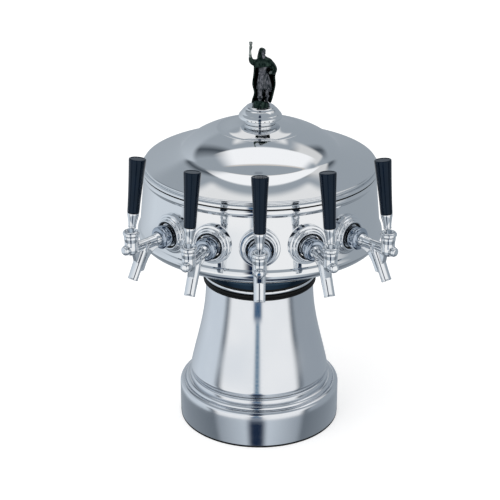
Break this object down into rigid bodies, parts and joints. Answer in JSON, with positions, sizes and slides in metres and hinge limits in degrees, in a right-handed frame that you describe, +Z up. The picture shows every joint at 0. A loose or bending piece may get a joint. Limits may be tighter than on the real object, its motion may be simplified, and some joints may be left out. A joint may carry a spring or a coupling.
{
  "type": "beer tower dispenser",
  "caption": "Counter-top draught tower: stepped round base, flared column, round head with lever taps across its front, domed lid and a small standing figure.",
  "frame": {"origin": "on the tower's axis, in the plane of the counter that the base plate stands on", "axes": "+Z up along the tower's axis, -Y towards the front where the taps are, +X to the right as seen from the front"},
  "size_m": [0.3654, 0.4333, 0.5719],
  "materials": {
    "mirror_steel": "mirror polished",
    "satin_steel": "fine polished, faintly brushed round the axis",
    "tap_chrome": "chrome plated",
    "plain_steel": "turned",
    "cast_plate": "cast",
    "dark_bronze": "dark patina",
    "black_plastic": "glossy, moulded",
    "black_rubber": "matte",
    "white_pipe": "extruded pipe",
    "foam": "cut foam"
  },
  "bodies": {
    "tower": {"base_plate": "cast_plate", "base_gasket": "black_rubber", "base_cover": "satin_steel", "core_tube": "white_pipe", "column_insulation": "foam", "column_shell": "satin_steel", "neck_gasket": "black_rubber", "neck_bead_ring": "mirror_steel", "neck_collar": "mirror_steel", "head_shell": "mirror_steel", "lid_gasket": "black_rubber", "lid_dome": "mirror_steel", "tie_rod": "plain_steel", "finial_base": "mirror_steel", "figurine": "dark_bronze", "shank_1": "plain_steel", "escutcheon_1": "tap_chrome", "coupling_nut_1": "tap_chrome", "faucet_body_1": "tap_chrome", "bonnet_1": "tap_chrome", "beer_line_1": "plain_steel", "shank_2": "plain_steel", "escutcheon_2": "tap_chrome", "coupling_nut_2": "tap_chrome", "faucet_body_2": "tap_chrome", "bonnet_2": "tap_chrome", "beer_line_2": "plain_steel", "shank_3": "plain_steel", "escutcheon_3": "tap_chrome", "coupling_nut_3": "tap_chrome", "faucet_body_3": "tap_chrome", "bonnet_3": "tap_chrome", "beer_line_3": "plain_steel", "shank_4": "plain_steel", "escutcheon_4": "tap_chrome", "coupling_nut_4": "tap_chrome", "faucet_body_4": "tap_chrome", "bonnet_4": "tap_chrome", "beer_line_4": "plain_steel", "shank_5": "plain_steel", "escutcheon_5": "tap_chrome", "coupling_nut_5": "tap_chrome", "faucet_body_5": "tap_chrome", "bonnet_5": "tap_chrome", "beer_line_5": "plain_steel"},
    "tap_lever_1": {"lever_1": "tap_chrome", "handle_1": "black_plastic"},
    "tap_lever_2": {"lever_2": "tap_chrome", "handle_2": "black_plastic"},
    "tap_lever_3": {"lever_3": "tap_chrome", "handle_3": "black_plastic"},
    "tap_lever_4": {"lever_4": "tap_chrome", "handle_4": "black_plastic"},
    "tap_lever_5": {"lever_5": "tap_chrome", "handle_5": "black_plastic"},
    "tap_valve_1": {"valve_shaft_1": "plain_steel"},
    "tap_valve_2": {"valve_shaft_2": "plain_steel"},
    "tap_valve_3": {"valve_shaft_3": "plain_steel"},
    "tap_valve_4": {"valve_shaft_4": "plain_steel"},
    "tap_valve_5": {"valve_shaft_5": "plain_steel"}
  },
  "joints": [
    {"name": "lever_1_tip", "type": "hinge", "parent": "tower", "child": "tap_lever_1", "pos_m": [-0.16941, -0.17421, 0.3533], "axis": [0.7169, -0.6972, 0], "range_deg": [0, 30]},
    {"name": "lever_2_tip", "type": "hinge", "parent": "tower", "child": "tap_lever_2", "pos_m": [-0.09142, -0.22515, 0.3533], "axis": [0.9265, -0.3762, 0], "range_deg": [0, 30]},
    {"name": "lever_3_tip", "type": "hinge", "parent": "tower", "child": "tap_lever_3", "pos_m": [0, -0.243, 0.3533], "axis": [1, 0, 0], "range_deg": [0, 30]},
    {"name": "lever_4_tip", "type": "hinge", "parent": "tower", "child": "tap_lever_4", "pos_m": [0.09142, -0.22515, 0.3533], "axis": [0.9265, 0.3762, 0], "range_deg": [0, 30]},
    {"name": "lever_5_tip", "type": "hinge", "parent": "tower", "child": "tap_lever_5", "pos_m": [0.16941, -0.17421, 0.3533], "axis": [0.7169, 0.6972, 0], "range_deg": [0, 30]},
    {"name": "valve_1_slide", "type": "slide", "parent": "tower", "child": "tap_valve_1", "axis": [0.6972, 0.7169, 0], "range_m": [0, 0.0082]},
    {"name": "valve_2_slide", "type": "slide", "parent": "tower", "child": "tap_valve_2", "axis": [0.3762, 0.9265, 0], "range_m": [0, 0.0082]},
    {"name": "valve_3_slide", "type": "slide", "parent": "tower", "child": "tap_valve_3", "axis": [0, 1, 0], "range_m": [0, 0.0082]},
    {"name": "valve_4_slide", "type": "slide", "parent": "tower", "child": "tap_valve_4", "axis": [-0.3762, 0.9265, 0], "range_m": [0, 0.0082]},
    {"name": "valve_5_slide", "type": "slide", "parent": "tower", "child": "tap_valve_5", "axis": [-0.6972, 0.7169, 0], "range_m": [0, 0.0082]}
  ],
  "couplings": [
    {"joint": "valve_1_slide", "follows": "lever_1_tip", "m_per_rad": 0.0153},
    {"joint": "valve_2_slide", "follows": "lever_2_tip", "m_per_rad": 0.0153},
    {"joint": "valve_3_slide", "follows": "lever_3_tip", "m_per_rad": 0.0153},
    {"joint": "valve_4_slide", "follows": "lever_4_tip", "m_per_rad": 0.0153},
    {"joint": "valve_5_slide", "follows": "lever_5_tip", "m_per_rad": 0.0153}
  ]
}
